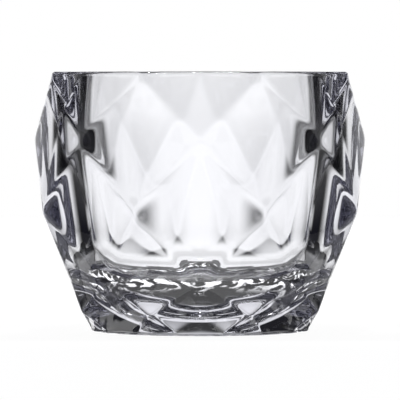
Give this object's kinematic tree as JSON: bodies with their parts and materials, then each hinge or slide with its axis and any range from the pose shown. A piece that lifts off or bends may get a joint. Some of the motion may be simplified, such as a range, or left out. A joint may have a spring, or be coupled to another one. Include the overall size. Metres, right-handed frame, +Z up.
{
  "type": "dappen dish",
  "caption": "Small thick-walled clear glass dish with a faceted outside, a smooth round well, a flat rim and a flat foot, for holding liquid or powder at a nail table.",
  "frame": {"origin": "centre of the underside, on the surface the dish stands on", "axes": "+Z up along the dish's axis of symmetry; one of the eight widest corners points along +X, and another along -Y, which is the side the picture was taken from"},
  "size_m": [0.05, 0.05, 0.039],
  "materials": {
    "glass": "clear colourless pressed glass, fire-polished, IOR about 1.52, roughness near 0; softly rounded facet edges, faint waviness in the facets, finely ground foot"
  },
  "bodies": {
    "root": {"glass_dish": "glass"}
  },
  "joints": []
}
